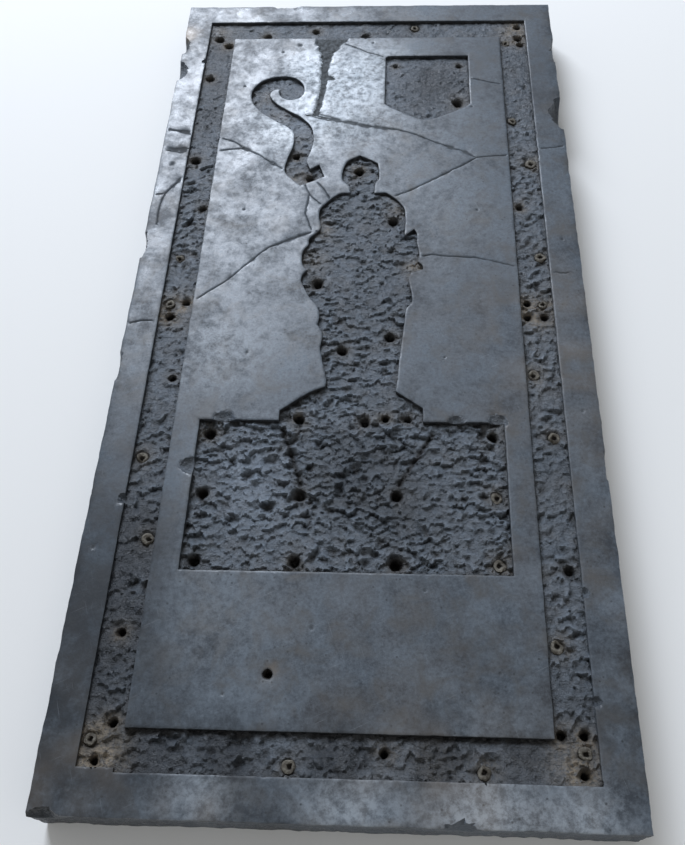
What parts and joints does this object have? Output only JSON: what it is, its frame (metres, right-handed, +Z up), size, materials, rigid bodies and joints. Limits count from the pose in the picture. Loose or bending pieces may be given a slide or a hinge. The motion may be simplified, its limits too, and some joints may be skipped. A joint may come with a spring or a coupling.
{
  "type": "ledger stone tombstone",
  "caption": "Flat limestone ledger slab with sunk rough beds for a lost brass figure, inscription panel, crozier, shield and border strip, with drilled dowel holes and lead plugs",
  "frame": {"origin": "centre of the slab's underside", "axes": "+X to the right across the slab, +Y from the foot to the head, +Z up out of the carved face"},
  "size_m": [1.1, 2.3, 0.12],
  "materials": {
    "limestone": "dark blue-grey limestone, worn polish on the face, rough chiselled beds",
    "lead": "dull weathered lead with an ochre bloom"
  },
  "bodies": {
    "root": {"lead_plug_foot_1": "lead", "lead_plug_foot_3": "lead", "lead_plug_foot_left_2": "lead", "lead_plug_foot_right_3": "lead", "lead_plug_head_4": "lead", "lead_plug_head_right_2": "lead", "lead_plug_left_2": "lead", "lead_plug_left_3": "lead", "lead_plug_left_5": "lead", "lead_plug_middle_left_2": "lead", "lead_plug_middle_right_2": "lead", "lead_plug_panel_1_3": "lead", "lead_plug_panel_2_3": "lead", "lead_plug_right_1": "lead", "lead_plug_right_3": "lead", "lead_plug_right_4": "lead", "lead_plug_right_5": "lead", "lead_plug_right_7": "lead", "lead_plug_right_8": "lead", "slab": "limestone"}
  },
  "joints": []
}
